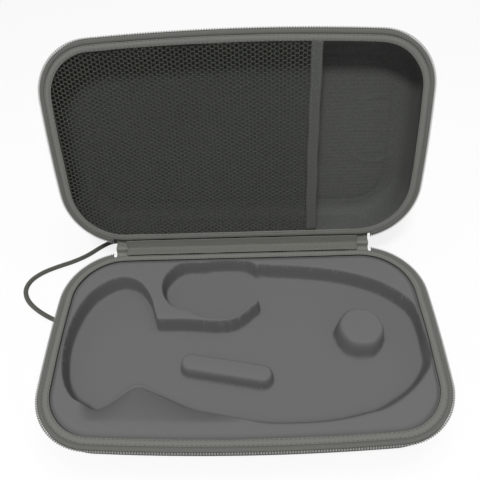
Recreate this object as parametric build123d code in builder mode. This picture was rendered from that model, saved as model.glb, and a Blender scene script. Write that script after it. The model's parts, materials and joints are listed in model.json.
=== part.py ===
from build123d import *
from math import atan, cos, degrees, pi, radians, sin, tan
import os

# Zip-up moulded hard case for a stethoscope, standing open, in millimetres.
#
# The origin is the centre of the base's flat bottom. +X is to the right along the case, +Y points
# to the hinge at the back and +Z is up. Each half is drawn as it lies when the case is shut, on its
# own mating plane: depths are counted from that plane, downwards in the base and upwards in the lid.
# The lid's plane is then turned open about the hinge line.

# --- Overall sizes -----------------------------------------------------------------------------
CASE_LENGTH = 286.0        # across the outer edges of the zip, along X
CASE_DEPTH = 168.0         # front to back, over the zip
BASE_HEIGHT = 34.0         # floor to the mating plane
LID_HEIGHT = 32.0          # mating plane to the top of the shut lid
SIDE_BULGE = 3.0           # how far each short side bows out
FRONT_BULGE = 6.0          # how far the front bows out
FRONT_CORNER = 44.0        # corner radii in plan, at the zip's outer edge
REAR_CORNER = 48.0
OPEN_ANGLE = 108.0         # the lid's turn from shut, as it stands
HINGE_SETBACK = 3.0        # hinge line behind the case's straight back edge

# --- Layers at the rim, counted inwards from the zip's outer edge (inset) -----------------------
COIL_WIDTH = 1.4           # zip coil, one row
TAPE_GAP = 0.1             # coil to the upstand of its tape
TAPE_THICK = 0.6           # woven zip tape and hinge cloth
BINDING_INSET = 2.8        # outer edge of the sewn binding
BINDING_WIDTH = 6.8
BINDING_THICK = 0.8
FLANGE_INSET = 3.6         # outer edge of the shell's flange, inside the binding's fold
WALL_INSET = 4.8           # outer face of the shell's wall, under the flange
WALL = 3.0                 # foam wall of both shells
DRAFT = 2.0                # how much a wall leans in over its height
EDGE_RADIUS = 14.0         # rounding along the far edge of each shell

# --- Depths counted from the mating plane -------------------------------------------------------
MATING_GAP = 0.2           # binding face to the mating plane
COIL_TALL = 2.5
FLANGE_BACK = 4.5          # back face of both flanges
FLANGE_FOLD = 0.6          # binding's thickness round the flange's edge
LEG_CLEAR = 0.1            # tapes stop this far short of the wall
INSERT_FACE = MATING_GAP + BINDING_THICK
TRAY_SHEET = 1.5           # tray's sewn edge
NET_THICK = 0.6
LID_PANEL = 3.0            # foam over the lid's inside face
BASE_FLOOR = 3.0

# --- Tray ---------------------------------------------------------------------------------------
RECESS_DEPTH = 18.0        # mating plane to the tray's floor
TRAY_WALL = 1.6
TRAY_EDGE = FLANGE_INSET + 0.2
POST_CENTRE = (87.3, 8.0)
POST_FOOT = 18.5           # radius at the tray's floor
POST_TOP = 14.75
BAR_CENTRE = (-12.0, -20.5)
BAR_LENGTH = 67.0
BAR_WIDTH = 15.0
BAR_TURN = -11.0
BAR_DROP = 6.0             # mating plane to the bar's top
BAR_LEAN = 1.5
WALL_LEAN = 1.3            # how far a tray wall leans in by the floor
# The tube channel's edge at the mating plane, span by span, clockwise from the front left.
CHANNEL_TOP = [
    [(-106, -56.5), (-119, -44), (-128.5, -24), (-130.9, 5), (-124, 37), (-99, 57.5), (-76.5, 48.5),
     (-64.5, 16)],
    [(-64.5, 16), (-40, 16), (-17, 13.2), (-1.5, 18), (12.3, 32)],
    [(12.3, 32), (11.5, 66.3)],
    [(11.5, 66.3), (43, 64.5), (78, 59), (105, 49.5), (124.5, 33), (132.7, 12), (130, -22)],
    [(130, -22), (118, -42), (98, -56.5), (62, -66)],
    [(62, -66), (30, -67.7), (0, -64.7), (-33, -62), (-77, -60.5)],
    [(-77, -60.5), (-93, -60), (-106, -56.5)],
]
# The front spans slope: their foot on the tray's floor.
FRONT_FOOT = [
    [(128, -18), (117, -32.5), (102, -43), (65, -55.5)],
    [(65, -55.5), (30, -57), (-3, -55), (-33, -47.8), (-77.6, -28.2)],
    [(-77.6, -28.2), (-92, -38.5), (-105, -46.5)],
]
# The chest-piece pocket's edge, from the rib's free end round the back.
POCKET_TOP = [
    [(9.3, 34.6), (-1.5, 24), (-10, 18.6), (-17, 17.7), (-26, 19), (-38, 24.6), (-52, 29)],
    [(-52, 29), (-60.5, 38.5), (-62.8, 50), (-57, 65), (-44, 72.8), (-20, 73.4), (3, 72.6),
     (11.5, 66.3)],
    [(11.5, 66.3), (18, 60)],
    [(18, 60), (18, 40)],
    [(18, 40), (9.3, 34.6)],
]
RIB_TIP = (10.8, 33.3)
RIB_RADIUS = 2.25

# --- Lid pocket ---------------------------------------------------------------------------------
POCKET_EDGE = 57.0         # X of the pocket's open edge
POCKET_TAPE_WIDTH = 8.0
POCKET_TAPE_THICK = 1.6
SEAM = 2.0                 # how far the net runs into its edge tape, short of the tape's edge

# --- Back: hinge cloth, zip ends and sliders ----------------------------------------------------
HINGE_LENGTH = 210.0
COVER_LENGTH = 190.0
COVER_GAP = 0.3
TAIL_START = 60.0          # |X| where a zip end starts
TAIL_LENGTH = 36.0
TAIL_WIDTH = 12.0
TAIL_DEPTH = 14.0          # mating plane to the zip end's centre line
TAIL_PAD = 5.0             # sewn length at each end of a zip end
TAIL_STAND = 1.6           # free tape to the wall
TAIL_SLOT = 1.4            # between the two rows
SLIDER_LENGTH = 10.0
SLIDER_WIDTH = 9.0
SLIDER_PLATE = 1.2
SLIDER_CLEAR = 0.25
SLIDER_TRAVEL = 14.0
BRIDGE = 1.0               # slider's middle post, along its slot
EAR_THICK = 1.0
PIN_RADIUS = 0.6
PIN_CLEAR = 0.06
BARREL_RADIUS = 1.4
BARREL_LENGTH = 3.6
PULL_LENGTH = 22.0
PULL_WIDTH = 6.0
PULL_THICK = 1.2

# --- Wrist strap --------------------------------------------------------------------------------
STRAP_DIAMETER = 4.0
TAB_ANGLE = 135.0          # round the back left corner, from +X
TAB_LENGTH = 12.0
TAB_HEIGHT = 6.0
TAB_DEPTH = 13.0           # mating plane to the tab's middle
TAB_FOLD = 1.2             # webbing round the strap
TAB_ROOT = 3.0             # tab's root inside the wall's face, before it is cut back to it
ARC_SHARE = 0.45           # part of a run that a bend may take
STRAP_POINTS = [
    (-113.5, 84.5, 19.5),
    (-106.0, 94.0, 12.5),
    (-101.5, 103.5, 5.5),
    (-102.0, 114.0, 2.2),
    (-109.1, 121.9, 2.2),
    (-119.6, 123.5, 2.2),
    (-130.0, 116.5, 2.2),
    (-140.0, 107.0, 2.2),
    (-152.0, 100.0, 2.2),
    (-164.5, 95.0, 2.2),
    (-176.5, 89.0, 2.2),
    (-185.5, 80.5, 2.2),
    (-188.0, 70.0, 2.2),
    (-183.5, 59.5, 2.2),
    (-174.5, 50.5, 2.2),
    (-163.5, 43.0, 2.2),
    (-153.0, 37.5, 2.2),
    (-142.9, 39.6, 2.6),
    (-136.4, 47.6, 6.5),
    (-136.4, 58.0, 13.5),
]

# --- Derived places -----------------------------------------------------------------------------
REAR_Y = CASE_DEPTH / 2
FRONT_Y = -CASE_DEPTH / 2 + FRONT_BULGE
HALF_X = CASE_LENGTH / 2 - SIDE_BULGE
SIDE_RADIUS = (((REAR_Y - FRONT_Y) / 2) ** 2 + SIDE_BULGE**2) / (2 * SIDE_BULGE)
FRONT_RADIUS = (HALF_X**2 + FRONT_BULGE**2) / (2 * FRONT_BULGE)
HINGE_Y = REAR_Y + HINGE_SETBACK
OPEN = radians(OPEN_ANGLE)
BASE_PLANE = Plane.XY.offset(BASE_HEIGHT)
LID_PLANE = Plane(
    origin=(0, HINGE_Y - HINGE_Y * cos(OPEN), BASE_HEIGHT + HINGE_Y * sin(OPEN)),
    x_dir=(1, 0, 0),
    z_dir=(0, sin(OPEN), cos(OPEN)),
)
BASE_SIDE = -1
LID_SIDE = 1
TAPE_BACK = FLANGE_BACK + BINDING_THICK
UPSTAND_INSET = COIL_WIDTH + TAPE_GAP
DRAFT_ANGLE = degrees(atan(DRAFT / (BASE_HEIGHT - FLANGE_BACK)))


def case_outline(inset=0.0):
    """Plan outline of the case, drawn in from the zip's outer edge."""
    middle = (FRONT_Y + REAR_Y) / 2
    with BuildSketch() as plan:
        with Locations((SIDE_RADIUS - CASE_LENGTH / 2, middle)):
            Circle(SIDE_RADIUS - inset)
        with Locations((CASE_LENGTH / 2 - SIDE_RADIUS, middle)):
            Circle(SIDE_RADIUS - inset, mode=Mode.INTERSECT)
        with Locations((0, FRONT_RADIUS - CASE_DEPTH / 2)):
            Circle(FRONT_RADIUS - inset, mode=Mode.INTERSECT)
        with Locations((0, REAR_Y - inset)):
            Rectangle(2 * CASE_LENGTH, 2 * CASE_DEPTH, align=(Align.CENTER, Align.MAX), mode=Mode.INTERSECT)
        fillet(plan.vertices().group_by(Axis.Y)[0], FRONT_CORNER - inset)
        fillet(plan.vertices().group_by(Axis.Y)[-1], REAR_CORNER - inset)
    return plan.sketch


def rim_band(outer, inner):
    """Ring between two insets, all the way round."""
    with BuildSketch() as band:
        add(case_outline(outer))
        add(case_outline(inner), mode=Mode.SUBTRACT)
    return band.sketch


def zip_band(outer, inner):
    """Ring between two insets, left open along the hinge."""
    with BuildSketch() as band:
        add(rim_band(outer, inner))
        with Locations((0, REAR_Y)):
            Rectangle(HINGE_LENGTH, REAR_CORNER, mode=Mode.SUBTRACT)
    return band.sketch


def tub(plane, side, inset, height, top_depth, far_radius):
    """Leaning-walled block with a rounded far edge, from top_depth to height."""
    lean = DRAFT * (height - top_depth) / (BASE_HEIGHT - FLANGE_BACK)
    with BuildPart() as block:
        with BuildSketch(plane.offset(side * top_depth)):
            add(case_outline(inset))
        with BuildSketch(plane.offset(side * height)):
            add(case_outline(inset + lean))
        loft(ruled=True)
        far = block.faces().sort_by(Axis(plane.origin, plane.z_dir * side))[-1]
        fillet(far.edges(), far_radius)
    return block.part


def half_shell(plane, side, height, far_wall, flange_front):
    """One foam shell: a flange at the rim and a hollow, rounded tub."""
    with BuildPart() as shell:
        add(tub(plane, side, WALL_INSET, height, FLANGE_BACK, EDGE_RADIUS))
        with BuildSketch(plane.offset(side * flange_front)):
            add(case_outline(FLANGE_INSET))
        extrude(amount=side * (FLANGE_BACK - flange_front))
        add(
            tub(plane, side, WALL_INSET + WALL, height - far_wall, flange_front - 0.01,
                EDGE_RADIUS - WALL),
            mode=Mode.SUBTRACT,
        )
    return shell.part


def folded_binding(plane, side):
    """Binding tape folded over the flange's edge: two legs and the fold between them."""
    with BuildPart() as binding:
        with BuildSketch(plane.offset(side * MATING_GAP)):
            add(rim_band(BINDING_INSET, BINDING_INSET + BINDING_WIDTH))
        extrude(amount=side * BINDING_THICK)
        with BuildSketch(plane.offset(side * MATING_GAP)):
            add(rim_band(BINDING_INSET, BINDING_INSET + FLANGE_FOLD))
        extrude(amount=side * (TAPE_BACK - MATING_GAP))
        with BuildSketch(plane.offset(side * FLANGE_BACK)):
            add(rim_band(BINDING_INSET, WALL_INSET - LEG_CLEAR))
        extrude(amount=side * BINDING_THICK)
    return binding.part


def zip_tape(plane, side):
    """Zip tape: a flat leg under the binding and an upstand beside the coil."""
    with BuildPart() as tape:
        with BuildSketch(plane.offset(side * TAPE_BACK)):
            add(zip_band(UPSTAND_INSET, WALL_INSET - LEG_CLEAR))
        extrude(amount=side * TAPE_THICK)
        with BuildSketch(plane.offset(side * MATING_GAP)):
            add(zip_band(UPSTAND_INSET, UPSTAND_INSET + TAPE_THICK))
        extrude(amount=side * (TAPE_BACK - MATING_GAP))
    return tape.part


def zip_coil(plane, side):
    """One row of the zip, as the band that its coils fill."""
    with BuildPart() as coil:
        with BuildSketch(plane.offset(side * TAPE_GAP)):
            add(zip_band(0, COIL_WIDTH))
        extrude(amount=side * COIL_TALL)
    return coil.part


os.makedirs("parts", exist_ok=True)


def save(piece, name):
    """Label a finished piece and write its file."""
    piece.label = name
    export_step(piece, f"parts/{name}.step")


# --- Shells, bindings and the zip round both halves ----------------------------------------------
HALVES = [
    ("base", BASE_PLANE, BASE_SIDE, BASE_HEIGHT, BASE_FLOOR, INSERT_FACE + TRAY_SHEET),
    ("lid", LID_PLANE, LID_SIDE, LID_HEIGHT, LID_PANEL, INSERT_FACE + NET_THICK),
]
shells = {}
for half, plane, side, height, far_wall, flange_front in HALVES:
    with BuildPart() as shell:
        add(half_shell(plane, side, height, far_wall, flange_front))
    save(shell.part, f"{half}_shell")
    shells[half] = shell.part

    with BuildPart() as binding:
        add(folded_binding(plane, side))
    save(binding.part, f"{half}_binding")

    with BuildPart() as tape:
        add(zip_tape(plane, side))
    save(tape.part, f"{half}_zip_tape")

    with BuildPart() as coil:
        add(zip_coil(plane, side))
    save(coil.part, f"{half}_zip_coil")

# --- Tray ---------------------------------------------------------------------------------------
def moved_in(spans, amount):
    """Spans of a clockwise outline moved inwards (or out, if negative) along their own normals."""
    loop = [Vector(*point) for span in spans for point in span[:-1]]
    starts = [sum(len(span) - 1 for span in spans[:i]) for i in range(len(spans))]
    shifted = []
    for i, point in enumerate(loop):
        along = (loop[(i + 1) % len(loop)] - loop[i - 1]).normalized()
        shifted.append((point.X + along.Y * amount, point.Y - along.X * amount))
    return [
        [shifted[(start + k) % len(loop)] for k in range(len(span))]
        for start, span in zip(starts, spans)
    ]


def closed_outline(spans):
    """Face inside a loop of spans: a line where a span has two points, else a smooth curve."""
    with BuildSketch() as face:
        with BuildLine():
            for span in spans:
                if len(span) == 2:
                    Line(*span)
                else:
                    Spline(*span)
        make_face()
    return face.sketch


def hollow(top_spans, foot_spans, top_depth, foot_depth):
    """Solid of a recess: ruled walls from its edge down to its foot."""
    with BuildPart() as block:
        with BuildSketch(BASE_PLANE.offset(-top_depth)):
            add(closed_outline(top_spans))
        with BuildSketch(BASE_PLANE.offset(-foot_depth)):
            add(closed_outline(foot_spans))
        loft(ruled=True)
    return block.part


channel_foot = moved_in(CHANNEL_TOP, WALL_LEAN)[:4] + FRONT_FOOT
channel_foot[3][-1] = FRONT_FOOT[0][0]
channel_foot[0][0] = FRONT_FOOT[-1][-1]
pocket_foot = moved_in(POCKET_TOP, WALL_LEAN)
under_depth = RECESS_DEPTH + TRAY_WALL

with BuildPart() as tray:
    with BuildSketch(BASE_PLANE.offset(-INSERT_FACE)):
        add(case_outline(TRAY_EDGE))
    extrude(amount=-TRAY_SHEET)
    for top_spans, foot_spans in ((CHANNEL_TOP, channel_foot), (POCKET_TOP, pocket_foot)):
        add(
            hollow(moved_in(top_spans, -TRAY_WALL), moved_in(foot_spans, -TRAY_WALL),
                   INSERT_FACE, under_depth)
        )
    for top_spans, foot_spans in ((CHANNEL_TOP, channel_foot), (POCKET_TOP, pocket_foot)):
        add(hollow(top_spans, foot_spans, INSERT_FACE, RECESS_DEPTH), mode=Mode.SUBTRACT)
    # The post: a hollow cone, open underneath.
    post_height = RECESS_DEPTH - INSERT_FACE
    post_foot = BASE_PLANE.offset(-RECESS_DEPTH)
    with BuildSketch(post_foot):
        with Locations(POST_CENTRE):
            Circle(POST_FOOT)
    with BuildSketch(post_foot.offset(post_height)):
        with Locations(POST_CENTRE):
            Circle(POST_TOP)
    loft()
    with BuildSketch(BASE_PLANE.offset(-under_depth)):
        with Locations(POST_CENTRE):
            Circle(POST_FOOT - TRAY_WALL)
    with BuildSketch(post_foot.offset(post_height - TRAY_WALL)):
        with Locations(POST_CENTRE):
            Circle(POST_TOP - TRAY_WALL)
    loft(mode=Mode.SUBTRACT)
    # The bar: a hollow rounded bar, open underneath.
    for plane, length, width, mode in (
        (post_foot, BAR_LENGTH, BAR_WIDTH, Mode.ADD),
        (BASE_PLANE.offset(-under_depth), BAR_LENGTH - 2 * TRAY_WALL, BAR_WIDTH - 2 * TRAY_WALL,
         Mode.SUBTRACT),
    ):
        wall = 0 if mode == Mode.ADD else TRAY_WALL
        with BuildSketch(plane):
            with Locations(BAR_CENTRE):
                SlotOverall(length, width, rotation=BAR_TURN)
        with BuildSketch(BASE_PLANE.offset(-BAR_DROP - wall)):
            with Locations(BAR_CENTRE):
                SlotOverall(length - 2 * BAR_LEAN, width - 2 * BAR_LEAN, rotation=BAR_TURN)
        loft(mode=mode)
    # The rounded free end of the rib between channel and pocket.
    with BuildSketch(post_foot):
        with Locations(RIB_TIP):
            Circle(RIB_RADIUS)
    extrude(amount=post_height)
save(tray.part, "inner_tray")

# --- Lid pocket -----------------------------------------------------------------------------------
tape_face = INSERT_FACE + NET_THICK / 2 - POCKET_TAPE_THICK / 2
with BuildPart() as net:
    with BuildSketch(LID_PLANE.offset(INSERT_FACE)):
        add(case_outline(TRAY_EDGE))
        with Locations((POCKET_EDGE - SEAM, 0)):
            Rectangle(CASE_LENGTH, 2 * CASE_DEPTH, align=(Align.MIN, Align.CENTER), mode=Mode.SUBTRACT)
    extrude(amount=NET_THICK)
save(net.part, "mesh_pocket")

with BuildPart() as edge_tape:
    with BuildSketch(LID_PLANE.offset(tape_face)):
        add(case_outline(BINDING_INSET + BINDING_WIDTH + COVER_GAP))
        with Locations((POCKET_EDGE - POCKET_TAPE_WIDTH / 2, 0)):
            Rectangle(POCKET_TAPE_WIDTH, 2 * CASE_DEPTH, mode=Mode.INTERSECT)
    extrude(amount=POCKET_TAPE_THICK)
    add(net.part, mode=Mode.SUBTRACT)
save(edge_tape.part, "pocket_edge_tape")


# --- Hinge ----------------------------------------------------------------------------------------
def at_rest(y, level):
    """A point of the shut lid's section (level above the mating plane) with the lid open."""
    back = y - HINGE_Y
    return (
        HINGE_Y + back * cos(OPEN) + level * sin(OPEN),
        BASE_HEIGHT - back * sin(OPEN) + level * cos(OPEN),
    )


def across_hinge(route, length):
    """Cloth strip along X over the hinge, from its middle line in section."""
    with BuildPart() as strip:
        with BuildSketch(Plane.YZ.offset(-length / 2)):
            with BuildLine():
                Polyline(*route)
            trace(line_width=TAPE_THICK)
        extrude(amount=length)
    return strip.part


strip_level = TAPE_BACK + TAPE_THICK / 2
strip_back = HINGE_Y - TAPE_THICK
strip_start = REAR_Y - WALL_INSET + LEG_CLEAR
with BuildPart() as hinge_strip:
    add(across_hinge(
        [
            (strip_start, BASE_HEIGHT - strip_level),
            (strip_back, BASE_HEIGHT - strip_level),
            (strip_back, BASE_HEIGHT),
            at_rest(strip_back, strip_level),
            at_rest(strip_start, strip_level),
        ],
        HINGE_LENGTH - 2 * COVER_GAP,
    ))
save(hinge_strip.part, "hinge_strip")

cover_start = REAR_Y - BINDING_INSET + COVER_GAP
with BuildPart() as hinge_cover:
    add(across_hinge(
        [
            (cover_start, BASE_HEIGHT + TAPE_THICK / 2),
            (strip_back - TAPE_THICK, BASE_HEIGHT + TAPE_THICK),
            at_rest(strip_back - TAPE_THICK, -TAPE_THICK),
            at_rest(cover_start, -TAPE_THICK / 2),
        ],
        COVER_LENGTH,
    ))
save(hinge_cover.part, "hinge_cover")

# --- Zip ends, sliders and pulls on the base's back wall --------------------------------------------
wall_y = REAR_Y - WALL_INSET - (TAIL_DEPTH - FLANGE_BACK) * tan(radians(DRAFT_ANGLE))
slot_half = TAIL_SLOT / 2
tape_out = TAIL_STAND + TAPE_THICK
coil_out = tape_out + COIL_WIDTH
row_tall = COIL_TALL - TAPE_THICK
top_plate = coil_out + SLIDER_CLEAR
pin_out = top_plate + SLIDER_PLATE + BARREL_RADIUS + SLIDER_CLEAR
parked = TAIL_START + TAIL_PAD + SLIDER_LENGTH / 2 + SLIDER_CLEAR
for name, hand in (("left", -1), ("right", 1)):
    # X runs outwards along the wall from the case's middle, Z stands out of the wall.
    wall = Plane(
        origin=(0, wall_y, BASE_HEIGHT - TAIL_DEPTH),
        x_dir=(hand, 0, 0),
        z_dir=(0, cos(radians(DRAFT_ANGLE)), -sin(radians(DRAFT_ANGLE))),
    )
    tail_middle = TAIL_START + TAIL_LENGTH / 2

    with BuildPart() as tail:
        with BuildSketch(wall.offset(TAIL_STAND)):
            with Locations((tail_middle, 0)):
                Rectangle(TAIL_LENGTH, TAIL_WIDTH)
                Rectangle(TAIL_LENGTH - 2 * TAIL_PAD, TAIL_SLOT, mode=Mode.SUBTRACT)
        extrude(amount=TAPE_THICK)
        with BuildSketch(wall):
            with Locations((tail_middle, 0)):
                with GridLocations(TAIL_LENGTH - TAIL_PAD, 0, 2, 1):
                    Rectangle(TAIL_PAD, TAIL_WIDTH)
        extrude(amount=TAIL_STAND)
    save(tail.part, f"zip_end_tape_{name}")

    with BuildPart() as rows:
        with BuildSketch(wall.offset(tape_out)):
            with Locations((tail_middle, 0)):
                with GridLocations(0, TAIL_SLOT + row_tall, 1, 2):
                    Rectangle(TAIL_LENGTH, row_tall)
        extrude(amount=COIL_WIDTH)
    save(rows.part, f"zip_end_coil_{name}")

    with BuildPart() as slider:
        for level in (TAIL_STAND - SLIDER_CLEAR - SLIDER_PLATE, top_plate):
            with BuildSketch(wall.offset(level)):
                with Locations((parked, 0)):
                    RectangleRounded(SLIDER_LENGTH, SLIDER_WIDTH, SLIDER_PLATE)
            extrude(amount=SLIDER_PLATE)
        with BuildSketch(wall.offset(TAIL_STAND - SLIDER_CLEAR)):
            with Locations((parked, 0)):
                Rectangle(SLIDER_LENGTH / 2, BRIDGE)
        extrude(amount=top_plate - TAIL_STAND + SLIDER_CLEAR)
        ear_gap = BARREL_LENGTH + 2 * SLIDER_CLEAR
        with BuildSketch(wall.offset(top_plate + SLIDER_PLATE)):
            with Locations((parked, 0)):
                with GridLocations(0, ear_gap + EAR_THICK, 1, 2):
                    Rectangle(2 * BARREL_RADIUS, EAR_THICK)
        extrude(amount=2 * BARREL_RADIUS + SLIDER_CLEAR)
        with BuildSketch(Plane(wall.from_local_coords((parked, -ear_gap / 2 - EAR_THICK, pin_out)),
                               x_dir=wall.x_dir, z_dir=wall.y_dir)):
            Circle(PIN_RADIUS)
        extrude(amount=ear_gap + 2 * EAR_THICK)
    save(slider.part, f"slider_{name}")

    with BuildPart() as pull:
        with BuildSketch(Plane(wall.from_local_coords((parked, -BARREL_LENGTH / 2, pin_out)),
                               x_dir=wall.x_dir, z_dir=wall.y_dir)):
            Circle(BARREL_RADIUS)
            with Locations((-BARREL_RADIUS, 0)):
                Rectangle(2 * BARREL_RADIUS, PULL_THICK)
            Circle(PIN_RADIUS + PIN_CLEAR, mode=Mode.SUBTRACT)
        extrude(amount=BARREL_LENGTH)
        with BuildSketch(wall.offset(pin_out - PULL_THICK / 2)):
            with Locations((parked - 2 * BARREL_RADIUS - PULL_LENGTH / 2 + EAR_THICK, 0)):
                RectangleRounded(PULL_LENGTH, PULL_WIDTH, PULL_WIDTH / 3)
        extrude(amount=PULL_THICK)
    save(pull.part, f"pull_{name}")

# --- Wrist strap and its tab ------------------------------------------------------------------------
tab_turn = radians(TAB_ANGLE)
outwards = Vector(cos(tab_turn), sin(tab_turn), 0)
along_wall = Vector(sin(tab_turn), -cos(tab_turn), 0)
corner = Vector(REAR_CORNER - CASE_LENGTH / 2, REAR_Y - REAR_CORNER, BASE_HEIGHT - TAB_DEPTH)
wall_radius = REAR_CORNER - WALL_INSET
strap_middle = corner + outwards * (wall_radius + STRAP_DIAMETER / 2 + TAB_FOLD)
tab_base = corner + outwards * (wall_radius - TAB_ROOT)
with BuildPart() as tab:
    with BuildSketch(Plane(tab_base, x_dir=along_wall, z_dir=outwards)):
        RectangleRounded(TAB_LENGTH, TAB_HEIGHT, 1)
    extrude(amount=TAB_ROOT + STRAP_DIAMETER + 2 * TAB_FOLD)
    add(shells["base"], mode=Mode.SUBTRACT)
save(tab.part, "strap_tab")

route = [strap_middle + along_wall * TAB_LENGTH / 2]
route += [Vector(*point) for point in STRAP_POINTS]
route += [strap_middle - along_wall * TAB_LENGTH / 2]
radii = []
for before, here, after in zip(route, route[1:], route[2:]):
    turn = radians((here - before).get_angle(after - here))
    run = min((here - before).length, (after - here).length)
    radii.append(ARC_SHARE * run / tan(turn / 2))
with BuildPart() as strap:
    with BuildLine() as strap_line:
        FilletPolyline(*route, radius=radii)
    with BuildSketch(Plane(origin=strap_line.wire() @ 0, z_dir=strap_line.wire() % 0)):
        Circle(STRAP_DIAMETER / 2)
    sweep()
save(strap.part, "wrist_strap")
strap_length = strap_line.wire().length
section = pi * STRAP_DIAMETER**2 / 4
print("strap length", round(strap_length, 1), "volume ratio",
      round(strap.part.volume / (section * strap_length), 4))
print("strap radii", [round(radius, 1) for radius in radii])
print("strap runs", [round((b - a).length, 1) for a, b in zip(route, route[1:])])
print("strap lowest", round(strap.part.bounding_box().min.Z, 2))
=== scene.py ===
"""Looks of a zip-up moulded hard case standing open: tray, shells, bindings, zip, net and strap."""

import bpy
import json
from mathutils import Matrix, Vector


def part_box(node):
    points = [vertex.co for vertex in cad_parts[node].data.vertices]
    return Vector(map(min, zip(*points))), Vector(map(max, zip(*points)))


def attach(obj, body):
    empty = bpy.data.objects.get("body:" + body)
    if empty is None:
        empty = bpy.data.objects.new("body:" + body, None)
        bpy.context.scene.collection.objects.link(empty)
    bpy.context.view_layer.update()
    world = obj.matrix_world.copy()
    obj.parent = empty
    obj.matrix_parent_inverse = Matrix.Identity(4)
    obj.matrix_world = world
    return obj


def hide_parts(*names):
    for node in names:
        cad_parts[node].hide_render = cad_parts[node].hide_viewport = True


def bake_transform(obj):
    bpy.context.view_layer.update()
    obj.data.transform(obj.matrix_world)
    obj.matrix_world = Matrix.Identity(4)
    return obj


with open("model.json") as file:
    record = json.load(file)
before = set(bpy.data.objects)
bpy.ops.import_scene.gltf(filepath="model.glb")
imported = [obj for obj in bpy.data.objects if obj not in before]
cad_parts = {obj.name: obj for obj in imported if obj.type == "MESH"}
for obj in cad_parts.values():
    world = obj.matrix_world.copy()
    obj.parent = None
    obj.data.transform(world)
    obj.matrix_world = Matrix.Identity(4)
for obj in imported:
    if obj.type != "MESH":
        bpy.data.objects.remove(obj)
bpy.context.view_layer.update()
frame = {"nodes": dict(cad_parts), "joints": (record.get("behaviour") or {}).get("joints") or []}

import json
import math

import bmesh
import bpy
import numpy as np
from mathutils import Matrix, Vector, geometry, noise

bl_info = {
    "name": "Hard Case",
    "version": (1, 0, 0),
    "blender": (4, 5, 0),
    "location": "View3D > Sidebar > Hard Case",
    "description": "Builds the finish of a zip-up moulded case around its CAD frame",
    "category": "Object",
}

# --- Places from the frame -------------------------------------------------------------------
MM = 0.001
hinge = next(joint for joint in frame["joints"] if joint["name"] == "lid_hinge")
HINGE_Y = hinge["pos_m"][1]
RIM_Z = hinge["pos_m"][2]
OPEN = math.radians(-hinge["range_deg"][0])
coil_low, coil_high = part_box("base_zip_coil")
HALF_LENGTH = coil_high.x
FRONT = coil_low.y
BACK = -FRONT
LID_TOP = 32 * MM
SIDE_BULGE = 3 * MM
FRONT_BULGE = 6 * MM
FRONT_CORNER = 44 * MM
REAR_CORNER = 48 * MM
HINGE_HALF = 105 * MM
BINDING_IN = 9.6 * MM
BASE_MATRIX = Matrix.Translation((0, 0, RIM_Z))
LID_MATRIX = (
    Matrix.Translation((0, HINGE_Y, RIM_Z))
    @ Matrix.Rotation(-OPEN, 4, "X")
    @ Matrix.Translation((0, -HINGE_Y, 0))
)
HALVES = {"base": (BASE_MATRIX, -1), "lid": (LID_MATRIX, 1)}


# --- Sizes and colours that a user would change -----------------------------------------------
def length(label, text, millimetres, low=0.0, high=1.0):
    """A length property in metres."""
    return bpy.props.FloatProperty(
        name=label, description=text, default=millimetres * MM, min=low, max=high,
        subtype="DISTANCE", unit="LENGTH", precision=5,
    )


def colour(label, text, value):
    """A colour property."""
    return bpy.props.FloatVectorProperty(
        name=label, description=text, default=value, size=3, min=0, max=1, subtype="COLOR"
    )


class CaseSizes(bpy.types.PropertyGroup):
    """Sizes of the case's soft details."""

    tray_depth: length("Tray depth", "Land to the tray's floor", 17.0)
    edge_run: length("Wall run", "Plan width of a tray wall", 1.9)
    edge_soft: length("Edge softness", "Reach of the rounded edge on the land", 2.2)
    bar_height: length("Bar height", "Bar above the tray's floor", 12.0)
    net_cell: length("Net cell", "Across the flats of one hexagon", 3.2)
    net_strand: length("Net strand", "Thickness of the net's strands", 0.8)
    stitch_pitch: length("Stitch pitch", "Distance between stitches", 3.0)
    stitch_length: length("Stitch length", "Length of one stitch", 2.1)
    coil_pitch: length("Coil pitch", "Distance between zip coils", 1.8)


class CaseColours(bpy.types.PropertyGroup):
    """Colours of the case's materials."""

    tray: colour("Tray", "Brushed knit on the tray", (0.118, 0.119, 0.114))
    shell: colour("Shell", "Woven cloth outside", (0.055, 0.057, 0.052))
    lining: colour("Lining", "Cloth inside the lid", (0.064, 0.067, 0.063))
    binding: colour("Binding", "Sewn binding tape", (0.104, 0.107, 0.083))
    net: colour("Net", "Net strands", (0.046, 0.049, 0.036))
    coil: colour("Coil", "Zip coils", (0.26, 0.26, 0.24))
    thread: colour("Thread", "Stitching thread", (0.10, 0.10, 0.085))
    hinge: colour("Hinge", "Hinge cloth", (0.115, 0.116, 0.103))
    strap: colour("Strap", "Braided strap", (0.085, 0.088, 0.074))
    metal: colour("Slider", "Lacquered slider", (0.03, 0.03, 0.03))


# --- Shader groups and materials ---------------------------------------------------------------
def new_group(name, inputs, outputs):
    """An empty shader group with named sockets, and its input and output nodes."""
    group = bpy.data.node_groups.new(name, "ShaderNodeTree")
    for label, kind, value in inputs:
        socket = group.interface.new_socket(label, in_out="INPUT", socket_type=kind)
        if value is not None:
            socket.default_value = value
    for label, kind in outputs:
        group.interface.new_socket(label, in_out="OUTPUT", socket_type=kind)
    return group, group.nodes.new("NodeGroupInput"), group.nodes.new("NodeGroupOutput")


def math_node(nodes, links, operation, a, b=None, c=None):
    """A math node fed by sockets or numbers."""
    node = nodes.new("ShaderNodeMath")
    node.operation = operation
    for index, value in enumerate((a, b, c)):
        if value is None:
            continue
        if isinstance(value, (int, float)):
            node.inputs[index].default_value = value
        else:
            links.new(value, node.inputs[index])
    return node.outputs[0]


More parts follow.
